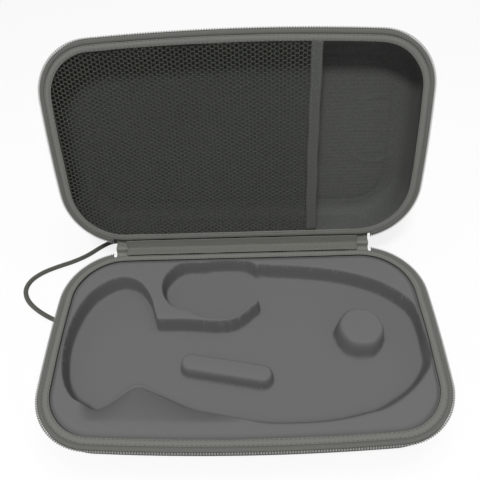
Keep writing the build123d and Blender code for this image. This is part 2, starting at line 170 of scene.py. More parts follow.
def weave_group():
    """Crossed threads with soft unevenness: a height and a shaded colour."""
    if "cloth_weave" in bpy.data.node_groups:
        return bpy.data.node_groups["cloth_weave"]
    group, source, result = new_group(
        "cloth_weave",
        [("Vector", "NodeSocketVector", None), ("Colour", "NodeSocketColor", (0.1, 0.1, 0.1, 1)),
         ("Threads", "NodeSocketFloat", 900.0), ("Contrast", "NodeSocketFloat", 0.3),
         ("Mottle", "NodeSocketFloat", 0.15)],
        [("Colour", "NodeSocketColor"), ("Height", "NodeSocketFloat")],
    )
    nodes, links = group.nodes, group.links
    rows = []
    for axis in ("X", "Y", "Z"):
        wave = nodes.new("ShaderNodeTexWave")
        wave.bands_direction = axis
        wave.inputs["Distortion"].default_value = 1.4
        wave.inputs["Detail"].default_value = 2
        wave.inputs["Detail Scale"].default_value = 1.5
        links.new(source.outputs["Vector"], wave.inputs["Vector"])
        links.new(source.outputs["Threads"], wave.inputs["Scale"])
        rows.append(wave.outputs["Fac"])
    crossed = math_node(nodes, links, "ADD", rows[0], math_node(nodes, links, "ADD", rows[1], rows[2]))
    height = math_node(nodes, links, "MULTIPLY", crossed, 1 / 3)
    mottle = nodes.new("ShaderNodeTexNoise")
    mottle.inputs["Scale"].default_value = 620
    mottle.inputs["Detail"].default_value = 6
    links.new(source.outputs["Vector"], mottle.inputs["Vector"])
    broad = nodes.new("ShaderNodeTexNoise")
    broad.inputs["Scale"].default_value = 14
    broad.inputs["Detail"].default_value = 3
    links.new(source.outputs["Vector"], broad.inputs["Vector"])
    threads = math_node(nodes, links, "MULTIPLY",
                        math_node(nodes, links, "SUBTRACT", height, 0.5), source.outputs["Contrast"])
    flecks = math_node(nodes, links, "MULTIPLY",
                       math_node(nodes, links, "SUBTRACT", mottle.outputs["Fac"], 0.5),
                       source.outputs["Mottle"])
    clouds = math_node(nodes, links, "MULTIPLY",
                       math_node(nodes, links, "SUBTRACT", broad.outputs["Fac"], 0.5), 0.18)
    shade = math_node(nodes, links, "ADD", 1.0,
                      math_node(nodes, links, "ADD", threads,
                                math_node(nodes, links, "ADD",
                                          math_node(nodes, links, "MULTIPLY", flecks, 3.0), clouds)))
    scaled = nodes.new("ShaderNodeVectorMath")
    scaled.operation = "SCALE"
    links.new(source.outputs["Colour"], scaled.inputs[0])
    links.new(shade, scaled.inputs["Scale"])
    links.new(scaled.outputs[0], result.inputs["Colour"])
    links.new(math_node(nodes, links, "ADD", height, mottle.outputs["Fac"]), result.inputs["Height"])
    return group


def rib_group():
    """Ribs across a tape, from its own UV map in metres: a height and a shaded colour."""
    if "tape_ribs" in bpy.data.node_groups:
        return bpy.data.node_groups["tape_ribs"]
    group, source, result = new_group(
        "tape_ribs",
        [("UV", "NodeSocketVector", None), ("Colour", "NodeSocketColor", (0.1, 0.1, 0.1, 1)),
         ("Pitch", "NodeSocketFloat", 0.0009), ("Slant", "NodeSocketFloat", 0.35),
         ("Contrast", "NodeSocketFloat", 0.35)],
        [("Colour", "NodeSocketColor"), ("Height", "NodeSocketFloat")],
    )
    nodes, links = group.nodes, group.links
    parts = nodes.new("ShaderNodeSeparateXYZ")
    links.new(source.outputs["UV"], parts.inputs[0])
    lean = math_node(nodes, links, "MULTIPLY", parts.outputs["Y"], source.outputs["Slant"])
    run = math_node(nodes, links, "ADD", parts.outputs["X"], lean)
    turns = math_node(nodes, links, "MULTIPLY",
                      math_node(nodes, links, "DIVIDE", run, source.outputs["Pitch"]), 2 * math.pi)
    wave = math_node(nodes, links, "SINE", turns)
    ribs = math_node(nodes, links, "MULTIPLY_ADD", wave, 0.5, 0.5)
    flecks = nodes.new("ShaderNodeTexNoise")
    flecks.inputs["Scale"].default_value = 420
    flecks.inputs["Detail"].default_value = 4
    links.new(source.outputs["UV"], flecks.inputs["Vector"])
    height = math_node(nodes, links, "ADD", ribs,
                       math_node(nodes, links, "MULTIPLY", flecks.outputs["Fac"], 0.8))
    shade = math_node(nodes, links, "ADD", 1.0,
                      math_node(nodes, links, "MULTIPLY",
                                math_node(nodes, links, "SUBTRACT", height, 0.9),
                                source.outputs["Contrast"]))
    scaled = nodes.new("ShaderNodeVectorMath")
    scaled.operation = "SCALE"
    links.new(source.outputs["Colour"], scaled.inputs[0])
    links.new(shade, scaled.inputs["Scale"])
    links.new(scaled.outputs[0], result.inputs["Colour"])
    links.new(height, result.inputs["Height"])
    return group


def base_material(name, rough, sheen=0.0, metallic=0.0):
    """A material with its Principled shader, and the shader itself."""
    material = bpy.data.materials.new(name)
    material.use_nodes = True
    shader = material.node_tree.nodes["Principled BSDF"]
    shader.inputs["Roughness"].default_value = rough
    shader.inputs["Metallic"].default_value = metallic
    shader.inputs["Sheen Weight"].default_value = sheen
    shader.inputs["Sheen Roughness"].default_value = 0.5
    shader.inputs["Specular IOR Level"].default_value = 0.35
    return material, shader


def add_bump(material, shader, height, strength, distance):
    """Height to the shader's normal."""
    bump = material.node_tree.nodes.new("ShaderNodeBump")
    bump.inputs["Strength"].default_value = strength
    bump.inputs["Distance"].default_value = distance
    material.node_tree.links.new(height, bump.inputs["Height"])
    material.node_tree.links.new(bump.outputs["Normal"], shader.inputs["Normal"])


def cloth_material(name, tint, threads, contrast, mottle, bump, rough=0.85, sheen=0.06):
    """Laminated cloth: fine threads over foam."""
    if name in bpy.data.materials:
        return bpy.data.materials[name]
    material, shader = base_material(name, rough, sheen)
    nodes, links = material.node_tree.nodes, material.node_tree.links
    coords = nodes.new("ShaderNodeTexCoord")
    weave = nodes.new("ShaderNodeGroup")
    weave.node_tree = weave_group()
    weave.inputs["Colour"].default_value = (*tint, 1)
    weave.inputs["Threads"].default_value = threads
    weave.inputs["Contrast"].default_value = contrast
    weave.inputs["Mottle"].default_value = mottle
    links.new(coords.outputs["Object"], weave.inputs["Vector"])
    links.new(weave.outputs["Colour"], shader.inputs["Base Color"])
    add_bump(material, shader, weave.outputs["Height"], bump, 0.0003)
    return material


def tape_material(name, tint, pitch, slant, contrast, bump, rough=0.8):
    """Woven tape with ribs that follow its UV map."""
    if name in bpy.data.materials:
        return bpy.data.materials[name]
    material, shader = base_material(name, rough, 0.04)
    nodes, links = material.node_tree.nodes, material.node_tree.links
    coords = nodes.new("ShaderNodeTexCoord")
    ribs = nodes.new("ShaderNodeGroup")
    ribs.node_tree = rib_group()
    ribs.inputs["Colour"].default_value = (*tint, 1)
    ribs.inputs["Pitch"].default_value = pitch
    ribs.inputs["Slant"].default_value = slant
    ribs.inputs["Contrast"].default_value = contrast
    links.new(coords.outputs["UV"], ribs.inputs["UV"])
    links.new(ribs.outputs["Colour"], shader.inputs["Base Color"])
    add_bump(material, shader, ribs.outputs["Height"], bump, 0.0004)
    return material


def plain_material(name, tint, rough, metallic=0.0, grain=0.15):
    """Lacquer, nylon or thread with a fine grain."""
    if name in bpy.data.materials:
        return bpy.data.materials[name]
    material, shader = base_material(name, rough, 0.0, metallic)
    nodes, links = material.node_tree.nodes, material.node_tree.links
    coords = nodes.new("ShaderNodeTexCoord")
    speck = nodes.new("ShaderNodeTexNoise")
    speck.inputs["Scale"].default_value = 900
    links.new(coords.outputs["Object"], speck.inputs["Vector"])
    scaled = nodes.new("ShaderNodeVectorMath")
    scaled.operation = "SCALE"
    scaled.inputs[0].default_value = tint
    amount = math_node(nodes, links, "MULTIPLY_ADD", speck.outputs["Fac"], 2 * grain, 1 - grain)
    links.new(amount, scaled.inputs["Scale"])
    links.new(scaled.outputs[0], shader.inputs["Base Color"])
    add_bump(material, shader, speck.outputs["Fac"], 0.1, 0.0001)
    return material


# --- Mesh helpers ---------------------------------------------------------------------------------
def smoothstep(value):
    """0 to 1 with level ends."""
    value = np.clip(value, 0, 1)
    return value * value * (3 - 2 * value)


def make_object(name, verts, faces, material, uvs=None, smooth=True):
    """A mesh object with its material, smooth shading and an optional UV map."""
    mesh = bpy.data.meshes.new(name)
    mesh.from_pydata([tuple(v) for v in verts], [], faces)
    if uvs is not None:
        layer = mesh.uv_layers.new(name="UVMap")
        for loop in mesh.loops:
            layer.data[loop.index].uv = uvs[loop.vertex_index]
    mesh.materials.append(material)
    mesh.polygons.foreach_set("use_smooth", [smooth] * len(mesh.polygons))
    piece = bpy.data.objects.new(name, mesh)
    bpy.context.scene.collection.objects.link(piece)
    return piece


def outward_normals(piece):
    """Recalculates a closed mesh's normals."""
    work = bmesh.new()
    work.from_mesh(piece.data)
    bmesh.ops.remove_doubles(work, verts=work.verts, dist=1e-7)
    bmesh.ops.recalc_face_normals(work, faces=work.faces)
    work.to_mesh(piece.data)
    work.free()


def place(piece, matrix):
    """Moves the mesh, not the object."""
    piece.data.transform(matrix)
    piece.data.update()
    return piece


def two_circles(a, ra, b, rb):
    """The meeting point of two circles with the larger X."""
    gap = math.dist(a, b)
    along = (ra**2 - rb**2 + gap**2) / (2 * gap)
    off = math.sqrt(ra**2 - along**2)
    ux, uy = (b[0] - a[0]) / gap, (b[1] - a[1]) / gap
    spots = [(a[0] + along * ux + s * off * -uy, a[1] + along * uy + s * off * ux) for s in (-1, 1)]
    return max(spots)


def rim_path(step=2 * MM):
    """Points and outward normals of the rim, clockwise from the back's middle."""
    front_chord = FRONT + FRONT_BULGE
    half_chord = HALF_LENGTH - SIDE_BULGE
    side_radius = (((BACK - front_chord) / 2) ** 2 + SIDE_BULGE**2) / (2 * SIDE_BULGE)
    front_radius = (half_chord**2 + FRONT_BULGE**2) / (2 * FRONT_BULGE)
    side = (HALF_LENGTH - side_radius, (front_chord + BACK) / 2)
    front = (0.0, FRONT + front_radius)
    rear_y = BACK - REAR_CORNER
    rear_x = side[0] + math.sqrt((side_radius - REAR_CORNER) ** 2 - (rear_y - side[1]) ** 2)
    rear = (rear_x, rear_y)
    nose = two_circles(side, side_radius - FRONT_CORNER, front, front_radius - FRONT_CORNER)
    side_top = math.atan2(rear[1] - side[1], rear[0] - side[0])
    side_low = math.atan2(nose[1] - side[1], nose[0] - side[0])
    front_right = math.atan2(nose[1] - front[1], nose[0] - front[0])
    arcs = [
        (rear, REAR_CORNER, math.pi / 2, side_top),
        (side, side_radius, side_top, side_low),
        (nose, FRONT_CORNER, side_low, front_right),
        (front, front_radius, front_right, -math.pi / 2),
    ]
    spots = [(x, BACK, 0.0, 1.0) for x in np.arange(0, rear_x, step)]
    for centre, radius, start, end in arcs:
        count = max(2, int(abs(end - start) * radius / step))
        for turn in np.linspace(start, end, count, endpoint=False):
            nx, ny = math.cos(turn), math.sin(turn)
            spots.append((centre[0] + radius * nx, centre[1] + radius * ny, nx, ny))
    spots.append((0.0, FRONT, 0.0, -1.0))
    mirrored = [(-x, y, -nx, ny) for x, y, nx, ny in spots[1:-1]][::-1]
    data = np.array(spots + mirrored)
    return data[:, :2], data[:, 2:]


RIM, RIM_OUT = rim_path()


def inset_ring(inset):
    """The rim drawn in by inset."""
    return RIM - RIM_OUT * inset


def zip_stretch():
    """Indices of the rim outside the hinge, in order from right to left round the front."""
    keep = [i for i, (x, y) in enumerate(RIM) if abs(x) >= HINGE_HALF or y < BACK - REAR_CORNER]
    return keep


def path_lengths(points, closed):
    """Distance along a path at each of its points."""
    steps = np.linalg.norm(np.diff(points, axis=0), axis=1)
    return np.concatenate([[0], np.cumsum(steps)])


def sweep(name, section, material, side, matrix, indices=None, wobble=0.0, seed=0.0):
    """Carries a closed section of (inset, depth) round the rim, or along part of it."""
    closed = indices is None
    indices = list(range(len(RIM))) if closed else indices
    base, normal = RIM[indices], RIM_OUT[indices]
    along = path_lengths(base, closed)
    around = path_lengths(np.array(section + section[:1]), True)
    count, width = len(indices), len(section)
    verts, uvs = [], []
    for i in range(count):
        for j, (inset, depth) in enumerate(section):
            shake = noise.noise((base[i][0] * 55, base[i][1] * 55, j * 0.4 + seed)) * wobble
            spot = base[i] - normal[i] * (inset + shake)
            verts.append((spot[0], spot[1], side * (depth + abs(shake) * 0.5)))
            uvs.append((along[i], around[j]))
    faces = []
    for i in range(count if closed else count - 1):
        k = (i + 1) % count
        for j in range(width):
            m = (j + 1) % width
            faces.append((i * width + j, i * width + m, k * width + m, k * width + j))
    if not closed:
        faces.append(tuple(range(width)))
        faces.append(tuple(range((count - 1) * width, count * width)))
    piece = make_object(name, verts, faces, material, uvs)
    outward_normals(piece)
    return place(piece, matrix)


def signed_distance(points, loop):
    """Distance of each point to a closed outline, negative inside."""
    a = loop
    b = np.roll(loop, -1, axis=0)
    edge = b - a
    best = np.full(len(points), 1e9)
    inside = np.zeros(len(points), bool)
    for start, step, end in zip(a, edge, b):
        offset = points - start
        share = np.clip((offset @ step) / max(step @ step, 1e-18), 0, 1)
        best = np.minimum(best, np.linalg.norm(offset - share[:, None] * step, axis=1))
        crosses = (start[1] > points[:, 1]) != (end[1] > points[:, 1])
        slope = (points[:, 1] - start[1]) * (end[0] - start[0])
        if end[1] != start[1]:
            inside ^= crosses & (points[:, 0] < slope / (end[1] - start[1]) + start[0])
    return np.where(inside, -best, best)


def smooth_loop(points, closed=True, per_span=10):
    """A smooth curve through points, in metres."""
    knots = np.array(points, float) * MM
    result = []
    count = len(knots)
    for i in range(count if closed else count - 1):
        p0 = knots[(i - 1) % count] if closed or i > 0 else knots[i]
        p1 = knots[i]
        p2 = knots[(i + 1) % count]
        p3 = knots[(i + 2) % count] if closed or i + 2 < count else p2
        for t in np.linspace(0, 1, per_span, endpoint=False):
            result.append(0.5 * (2 * p1 + (p2 - p0) * t + (2 * p0 - 5 * p1 + 4 * p2 - p3) * t**2
                                 + (3 * p1 - p0 - 3 * p2 + p3) * t**3))
    return np.array(result)


def offset_loop(loop, amount):
    """Points moved along the outline's own normals; positive is outwards on a clockwise loop."""
    along = np.roll(loop, -1, axis=0) - np.roll(loop, 1, axis=0)
    along /= np.linalg.norm(along, axis=1)[:, None]
    return loop + np.stack([-along[:, 1], along[:, 0]], axis=1) * amount


def even_loop(loop, step):
    """A closed outline resampled to even steps."""
    ring = np.vstack([loop, loop[:1]])
    along = path_lengths(ring, True)
    count = int(along[-1] / step)
    spots = np.linspace(0, along[-1], count, endpoint=False)
    return np.stack([np.interp(spots, along, ring[:, k]) for k in (0, 1)], axis=1)


def thinned(points, gap):
    """Drops points that fall in a cell already taken, so no two lie much nearer than gap."""
    cells = np.round(points / gap).astype(int)
    _, first = np.unique(cells, axis=0, return_index=True)
    return points[np.sort(first)]


def height_sheet(boundary, inner, height):
    """Triangulated sheet inside a boundary, at a height for each point."""
    points = np.vstack([boundary, inner])
    edge = [(i, (i + 1) % len(boundary)) for i in range(len(boundary))]
    flat, _, faces, _, _, _ = geometry.delaunay_2d_cdt(
        [Vector(p) for p in points], edge, [], 1, 1e-6
    )
    spots = np.array([tuple(v) for v in flat])
    levels = height(spots)
    return [(x, y, z) for (x, y), z in zip(spots, levels)], faces


def evaluated(piece, name):
    """A plain mesh object from an object with modifiers, which is removed."""
    depsgraph = bpy.context.evaluated_depsgraph_get()
    mesh = bpy.data.meshes.new_from_object(piece.evaluated_get(depsgraph))
    mesh.name = name
    result = bpy.data.objects.new(name, mesh)
    bpy.context.scene.collection.objects.link(result)
    bpy.data.objects.remove(piece)
    return result


def poly_curve(name, points, closed=False):
    """A curve object of straight steps through points."""
    curve = bpy.data.curves.new(name, "CURVE")
    curve.dimensions = "3D"
    spline = curve.splines.new("POLY")
    spline.points.add(len(points) - 1)
    for spot, point in zip(spline.points, points):
        spot.co = (*point, 1)
    spline.use_cyclic_u = closed
    result = bpy.data.objects.new(name, curve)
    bpy.context.scene.collection.objects.link(result)
    return result


# --- Geometry Nodes trees ---------------------------------------------------------------------------
def geometry_tree(name, inputs):
    """An empty geometry tree with geometry in and out and named inputs."""
    tree = bpy.data.node_groups.new(name, "GeometryNodeTree")
    tree.interface.new_socket("Geometry", in_out="INPUT", socket_type="NodeSocketGeometry")
    tree.interface.new_socket("Geometry", in_out="OUTPUT", socket_type="NodeSocketGeometry")
    for label, kind, value in inputs:
        socket = tree.interface.new_socket(label, in_out="INPUT", socket_type=kind)
        if value is not None:
            socket.default_value = value
    return tree, tree.nodes.new("NodeGroupInput"), tree.nodes.new("NodeGroupOutput")


def beads_tree():
    """Rounded beads set along a curve and turned with it: stitches and zip coils."""
    if "beads_along" in bpy.data.node_groups:
        return bpy.data.node_groups["beads_along"]
    tree, source, result = geometry_tree(
        "beads_along",
        [("Pitch", "NodeSocketFloat", 0.003), ("Size", "NodeSocketVector", (1, 1, 1)),
         ("Material", "NodeSocketMaterial", None)],
    )
    nodes, links = tree.nodes, tree.links
    resample = nodes.new("GeometryNodeResampleCurve")
    resample.mode = "LENGTH"
    links.new(source.outputs["Geometry"], resample.inputs["Curve"])
    links.new(source.outputs["Pitch"], resample.inputs["Length"])
    tangent = nodes.new("GeometryNodeInputTangent")
    turn = nodes.new("FunctionNodeAlignRotationToVector")
    turn.axis = "X"
    turn.pivot_axis = "Z"
    links.new(tangent.outputs[0], turn.inputs["Vector"])
    bead = nodes.new("GeometryNodeMeshUVSphere")
    bead.inputs["Segments"].default_value = 8
    bead.inputs["Rings"].default_value = 5
    bead.inputs["Radius"].default_value = 0.5
    points = nodes.new("GeometryNodeInstanceOnPoints")
    links.new(resample.outputs["Curve"], points.inputs["Points"])
    links.new(bead.outputs["Mesh"], points.inputs["Instance"])
    links.new(turn.outputs["Rotation"], points.inputs["Rotation"])
    links.new(source.outputs["Size"], points.inputs["Scale"])
    realize = nodes.new("GeometryNodeRealizeInstances")
    links.new(points.outputs["Instances"], realize.inputs["Geometry"])
    paint = nodes.new("GeometryNodeSetMaterial")
    links.new(realize.outputs["Geometry"], paint.inputs["Geometry"])
    links.new(source.outputs["Material"], paint.inputs["Material"])
    links.new(paint.outputs["Geometry"], result.inputs["Geometry"])
    return tree


def strands_tree():
    """Thin strands along every edge of a flat net."""
    if "net_strands" in bpy.data.node_groups:
        return bpy.data.node_groups["net_strands"]
    tree, source, result = geometry_tree(
        "net_strands",
        [("Thickness", "NodeSocketFloat", 0.0008), ("Material", "NodeSocketMaterial", None)],
    )
    nodes, links = tree.nodes, tree.links
    split = nodes.new("GeometryNodeSplitEdges")
    links.new(source.outputs["Geometry"], split.inputs["Mesh"])
    curve = nodes.new("GeometryNodeMeshToCurve")
    links.new(split.outputs["Mesh"], curve.inputs["Mesh"])
    profile = nodes.new("GeometryNodeCurvePrimitiveCircle")
    profile.inputs["Resolution"].default_value = 5
    half = nodes.new("ShaderNodeMath")
    half.operation = "MULTIPLY"
    half.inputs[1].default_value = 0.5
    links.new(source.outputs["Thickness"], half.inputs[0])
    links.new(half.outputs[0], profile.inputs["Radius"])
    tube = nodes.new("GeometryNodeCurveToMesh")
    tube.inputs["Fill Caps"].default_value = True
    links.new(curve.outputs["Curve"], tube.inputs["Curve"])
    links.new(profile.outputs["Curve"], tube.inputs["Profile Curve"])
    realize = nodes.new("GeometryNodeRealizeInstances")
    links.new(tube.outputs["Mesh"], realize.inputs["Geometry"])
    paint = nodes.new("GeometryNodeSetMaterial")
    links.new(realize.outputs["Geometry"], paint.inputs["Geometry"])
    links.new(source.outputs["Material"], paint.inputs["Material"])
    links.new(paint.outputs["Geometry"], result.inputs["Geometry"])
    return tree


def grown(carrier, tree, name, **values):
    """Applies a geometry tree to a carrier object and keeps the result as a plain mesh."""
    modifier = carrier.modifiers.new("grow", "NODES")
    modifier.node_group = tree
    for item in tree.interface.items_tree:
        if item.in_out == "INPUT" and item.name in values:
            modifier[item.identifier] = values[item.name]
    bpy.context.view_layer.update()
    piece = evaluated(carrier, name)
    piece.data.polygons.foreach_set("use_smooth", [True] * len(piece.data.polygons))
    return piece


def row_of_beads(name, points, pitch, size, material, matrix=Matrix.Identity(4), closed=False):
    """Stitches or coils along points."""
    carrier = poly_curve(name + "_path", points, closed)
    piece = grown(carrier, beads_tree(), name, Pitch=pitch, Size=size, Material=material)
    return place(piece, matrix)


# --- The tray's shape --------------------------------------------------------------------------------
CHANNEL_FOOT = [
    (-105, -46.8), (-116.5, -41), (-125.5, -25), (-129.3, 2), (-125, 28), (-115.5, 46), (-99, 56.6),
    (-84, 53.2), (-73.5, 40), (-67.8, 24), (-65.2, 17.2), (-60, 16.2), (-40, 15.6), (-20, 13.4),
    (-8, 14.4), (1, 19), (8, 25.6), (13.6, 31.5), (13.0, 45), (12.4, 64.8), (25, 65), (43, 63.6),
    (62, 61), (79, 57.4), (95, 52), (109, 45), (121, 35), (128, 25), (130.6, 12), (130.4, -4),
    (128.5, -17.4), (117.8, -32.1), (102.4, -42.7), (91.2, -48.8), (80.6, -51.6), (65, -55),
    (47.8, -56.8), (30, -57.2), (15, -56.8), (-3, -55.2), (-17.9, -52.2), (-33.3, -47.8),
    (-43.8, -43.3), (-54.6, -37.6), (-65.6, -31.9), (-73, -28.4), (-79, -28.4), (-84.6, -31.8),
    (-91.8, -39.4), (-98.5, -44.8),
]
POCKET_FOOT = [
    (8.6, 33.2), (-1.9, 23.2), (-10, 18.9), (-17, 18.2), (-26, 19.6), (-34, 22.6), (-39, 25.8),
    (-47, 28), (-53.5, 31.4), (-58.6, 38.2), (-61.2, 46), (-61, 55), (-56.4, 63.6), (-50, 69.4),
    (-43, 71.6), (-36, 71.4), (-30, 71.2), (-24, 72.8), (-10, 73), (1, 71.9), (7.4, 68.6),
    (12.4, 64.4), (20, 60), (24, 50), (18, 40), (13.6, 35.6),
]
BAR_ENDS = ((-37.6, -15.5), (13.6, -25.5))
BAR_HALF_WIDTH = 8.2 * MM
POST_CENTRE = (87.3 * MM, 8.0 * MM)
POST_FOOT = 18.5 * MM
POST_RUN = 3.6 * MM
LAND_DEPTH = 1.0 * MM


def capsule_distance(points, a, b):
    """Distance of each point to the line from a to b."""
    a, b = np.array(a), np.array(b)
    share = np.clip(((points - a) @ (b - a)) / ((b - a) @ (b - a)), 0, 1)
    return np.linalg.norm(points - a - share[:, None] * (b - a), axis=1)


def rim_inset(points):
    """How far each point lies inside the rim."""
    return -signed_distance(points, RIM[::2])


def tray_height(points, sizes, channel, pocket):
    """Height of the moulded tray at each plan point, above the base's foot."""
    x, y = points[:, 0] / MM, points[:, 1] / MM
    land = RIM_Z - LAND_DEPTH
    floor = land - sizes.tray_depth
    reach_channel = signed_distance(points, channel)
    reach_pocket = signed_distance(points, pocket)
    reach = np.minimum(reach_channel, reach_pocket)
    # The front wall leans: narrow at the left, wide round the right front corner.
    wide = smoothstep((x + 25) / 45) * smoothstep((10 - y) / 36) * (1 - 0.4 * smoothstep((x - 105) / 20))
    run = sizes.edge_run + wide * 6.5 * MM
    # The hill at the left front falls from the front ridge to its crest.
    front_line = -63.5 + 0.00022 * (x - 10) ** 2
    crest = np.interp(x, [-110, -104, -92, -79, -73, -54.6, -33.3, -17.9, -3, 15],
                      [-50, -46.8, -39.4, -28.4, -28.4, -37.6, -47.8, -52.2, -55.2, -56.8])
    step = np.interp(x, [-112, -104, -92, -79, -60, -40, -20, -4, 10],
                     [9.0, 3.6, 1.2, 0.2, 1.7, 3.6, 7.5, 13.0, 17.0])
    share = np.clip((y - front_line) / np.maximum(crest - front_line, 0.5), 0, 1)
    ease = smoothstep((x + 112) / 14) * (1 - smoothstep((x + 8) / 16))
    fall = (share**1.25) * (17.0 - step) * ease * MM
    fall = np.where((y < crest + 6) & (x > -124) & (x < 12), fall, 0)
    surface = land - fall - 0.9 * MM * np.exp(-np.maximum(reach, 0) / sizes.edge_soft)
    # Rounded shoulder down to the groove beside the binding, broad at the front.
    inset = rim_inset(points)
    front = smoothstep((-y - 48) / 16)
    groove_width = (2.6 + 5.4 * front) * MM
    groove_depth = (2.3 + 0.7 * front) * MM
    into = np.clip((inset - BINDING_IN - 0.6 * MM) / groove_width, 0, 1)
    surface = surface - groove_depth * (1 - into) ** (2 + front * 1.4)
    rise = smoothstep(reach / run + 0.02)
    height = floor + (surface - floor) * rise
    # Soft foot of the walls.
    height = height + 0.9 * MM * np.exp(-np.abs(np.minimum(reach, 0)) / (1.6 * MM)) * (1 - rise)
    # Bar and post.
    a, b = (np.array(end) * MM for end in BAR_ENDS)
    bar = BAR_HALF_WIDTH - capsule_distance(points, a, b)
    lift = 1 - (1 - np.clip(bar / (3.6 * MM), 0, 1)) ** 3.4
    crown = 0.5 * MM * np.clip(bar / BAR_HALF_WIDTH, 0, 1)
    height = np.maximum(height, floor + (sizes.bar_height - 0.5 * MM) * lift + crown)
    centred = points - np.array(POST_CENTRE)
    turn = np.arctan2(centred[:, 1], centred[:, 0])
    facets = 1 + 0.012 * np.cos(6 * turn + 0.6)
    post = POST_FOOT * facets - np.linalg.norm(centred, axis=1)
    lift = 1 - (1 - np.clip(post / (POST_RUN + 1.6 * MM), 0, 1)) ** 3.0
    dish = 0.5 * MM * np.clip(post / POST_FOOT, 0, 1)
    height = np.maximum(height, floor + (sizes.tray_depth - 0.3 * MM) * lift + dish)
    return height


class CASE_OT_tray(bpy.types.Operator):
    """Moulded tray with its channel, pocket, bar and post"""

    bl_idname = "hard_case.tray"
    bl_label = "Tray"

    def execute(self, context):
        sizes, tints = context.scene.case_sizes, context.scene.case_colours
        channel = even_loop(smooth_loop(CHANNEL_FOOT), 1.3 * MM)
        pocket = even_loop(smooth_loop(POCKET_FOOT), 1.3 * MM)
        steps = [-4, -2.6, -1.7, -1, -0.45, 0, 0.3, 0.6, 0.9, 1.2, 1.5, 1.9, 2.4, 3.1, 4.2, 6]
        points = []
        for loop in (channel, pocket):
            points += [offset_loop(loop, step * MM) for step in steps]
        points.append(np.vstack([offset_loop(channel, s * MM)[channel[:, 1] < -10 * MM]
                                 for s in (5.1, 6.9, 7.8, 8.7)]))
        a, b = (np.array(end) * MM for end in BAR_ENDS)
        turn = math.atan2(b[1] - a[1], b[0] - a[0])
        for reach in (8.8, 8.2, 7.8, 7.3, 6.7, 6.0, 5.2, 4.2, 2.5, 0.8):
            ends = np.linspace(0, math.pi, max(6, int(reach * 3)))
            cap = np.stack([np.cos(ends - math.pi / 2 + turn), np.sin(ends - math.pi / 2 + turn)], 1)
            loop = np.vstack([b + cap * reach * MM, a - cap * reach * MM])
            points.append(even_loop(loop, 1.2 * MM))
        for reach in (19.6, 18.5, 18, 17.4, 16.8, 16, 15, 14, 12.8, 11, 8, 5, 2):
            ends = np.linspace(0, 2 * math.pi, int(reach * 5), endpoint=False)
            ring = np.stack([np.cos(ends), np.sin(ends)], 1) * reach * MM
            points.append(ring + np.array(POST_CENTRE))
        for inset in (9.6, 10.2, 10.8, 11.4, 12.1, 13, 14, 15.4, 17, 19):
            points.append(inset_ring(inset * MM))
        grid = np.stack(np.meshgrid(np.arange(-134, 135, 3.0), np.arange(-75, 76, 3.0)), -1)
        points.append(grid.reshape(-1, 2) * MM)
        hill = np.stack(np.meshgrid(np.arange(-122, 20, 1.6), np.arange(-66, -26, 1.6)), -1)
        points.append(hill.reshape(-1, 2) * MM)
        cloud = thinned(np.vstack(points), 0.32 * MM)
        boundary = inset_ring(7 * MM)
        cloud = cloud[rim_inset(cloud) > 7.4 * MM]
        verts, faces = height_sheet(
            boundary, cloud, lambda spots: tray_height(spots, sizes, channel, pocket)
        )
        material = cloth_material("tray_cloth", tints.tray, 260, 0.8, 0.6, 1.0)
        piece = make_object("moulded_tray", verts, faces, material)
        solid = piece.modifiers.new("thickness", "SOLIDIFY")
        solid.thickness = 1.0 * MM
        solid.offset = -1
        piece = evaluated(piece, "moulded_tray_sheet")
        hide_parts("inner_tray")
        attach(piece, "base")
        return {"FINISHED"}


# --- Shells ---------------------------------------------------------------------------------------------
def wall_profile(inset, near, far, radius, steps=9):
    """Points (inset, depth) down a leaning wall and round its far edge."""
    lean = 2.0 / 29.5
    foot = inset + lean * (far - near)
    points = [(inset + lean * (far - radius - near) * t, near + (far - radius - near) * t)
              for t in np.linspace(0, 1, 5)]
    for turn in np.linspace(0, math.pi / 2, steps)[1:]:
        points.append((foot + radius * (1 - math.cos(turn)), far - radius * (1 - math.sin(turn))))
    return points


EMBLEM_CENTRE = (108.0, 1.0)
EMBLEM_RADII = (27.0, 29.0)


def embossed_rings(points):
    """Two faint raised rings near the right end, in metres."""
    x = (points[:, 0] / MM - EMBLEM_CENTRE[0]) / EMBLEM_RADII[0]
    y = (points[:, 1] / MM - EMBLEM_CENTRE[1]) / EMBLEM_RADII[1]
    reach = np.hypot(x, y)
    outer = np.exp(-(((reach - 0.92) * 27 / 1.5) ** 2))
    inner = np.exp(-(((reach - 0.62) * 27 / 1.5) ** 2))
    return (outer * 0.3 + inner * 0.18) * MM


